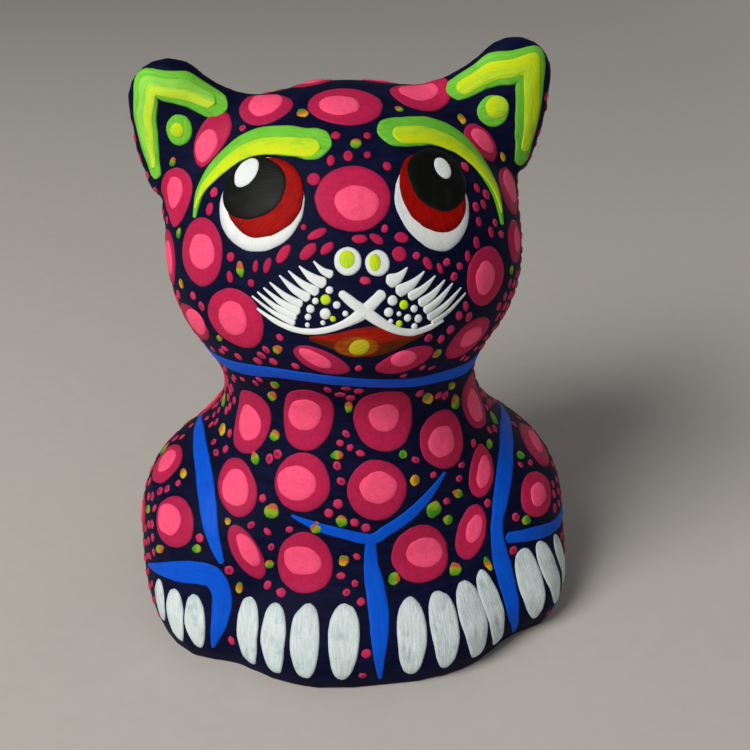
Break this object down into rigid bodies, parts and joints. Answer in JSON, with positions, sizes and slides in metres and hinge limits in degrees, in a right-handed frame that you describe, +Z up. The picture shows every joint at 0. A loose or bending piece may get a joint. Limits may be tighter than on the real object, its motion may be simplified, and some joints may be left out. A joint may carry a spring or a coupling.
{
  "type": "painted cat figure",
  "caption": "Small seated cat figure of hollow fired clay with pointed ears, covered in raised paint dabs, strokes and spots; stands on a flat base.",
  "frame": {"origin": "on the flat underside, under the middle of the body and on the middle plane between left and right; the hand-modelled head sits 0.4 mm to the right of that plane and the torso 0.6 mm off it", "axes": "+Z up along the figure's height, -Y the way the cat faces, +X towards the cat's own left"},
  "size_m": [0.0602, 0.0536, 0.0748],
  "materials": {
    "navy_clay": "satin acrylic ground coat on fired clay",
    "bare_clay": "bare fired clay",
    "white_paint": "raised satin acrylic paint",
    "red_paint": "raised satin acrylic paint",
    "black_paint": "raised satin acrylic paint",
    "green_paint": "raised satin acrylic paint",
    "lime_paint": "raised satin acrylic paint",
    "orange_paint": "raised satin acrylic paint",
    "yellow_paint": "raised satin acrylic paint",
    "blue_paint": "raised satin acrylic paint",
    "pink_paint": "raised satin acrylic paint",
    "magenta_paint": "raised satin acrylic paint"
  },
  "bodies": {
    "root": {"front_half": "navy_clay", "back_half": "navy_clay", "base_slab": "bare_clay", "ear_left": "navy_clay", "ear_right": "navy_clay", "tail": "navy_clay", "eye_white_left": "white_paint", "eye_white_right": "white_paint", "iris_left": "red_paint", "iris_right": "red_paint", "pupil_left": "black_paint", "pupil_right": "black_paint", "eye_glint_left": "white_paint", "eye_glint_right": "white_paint", "brow_green_left": "green_paint", "brow_green_right": "green_paint", "brow_lime_left": "lime_paint", "brow_lime_right": "lime_paint", "ear_green_left": "green_paint", "ear_green_right": "green_paint", "ear_lime_left": "lime_paint", "ear_lime_right": "lime_paint", "ear_dot_left": "green_paint", "ear_dot_right": "green_paint", "ear_dot_centre_left": "lime_paint", "ear_dot_centre_right": "lime_paint", "nose_spots": "white_paint", "nose_spot_centres": "lime_paint", "mouth_red": "red_paint", "mouth_orange": "orange_paint", "tongue_dot": "yellow_paint", "lip_line_left": "white_paint", "lip_line_right": "white_paint", "whiskers_left": "white_paint", "whiskers_right": "white_paint", "muzzle_dots_white": "white_paint", "muzzle_dots_lime": "lime_paint", "collar_line": "blue_paint", "chest_fork": "blue_paint", "chest_stem": "blue_paint", "leg_line_left": "blue_paint", "leg_line_right": "blue_paint", "foot_band_left": "blue_paint", "foot_band_right": "blue_paint", "claws_front_left": "white_paint", "claws_front_right": "white_paint", "claws_back_left": "white_paint", "claws_back_right": "white_paint", "head_spots": "magenta_paint", "head_spot_centres": "pink_paint", "chest_spots": "magenta_paint", "chest_spot_centres": "pink_paint", "haunch_spots": "magenta_paint", "haunch_spot_centres": "pink_paint", "back_spots": "magenta_paint", "back_spot_centres": "pink_paint", "face_dashes": "magenta_paint", "fine_dots": "magenta_paint", "drops_green": "green_paint", "drops_yellow": "yellow_paint"}
  },
  "joints": []
}
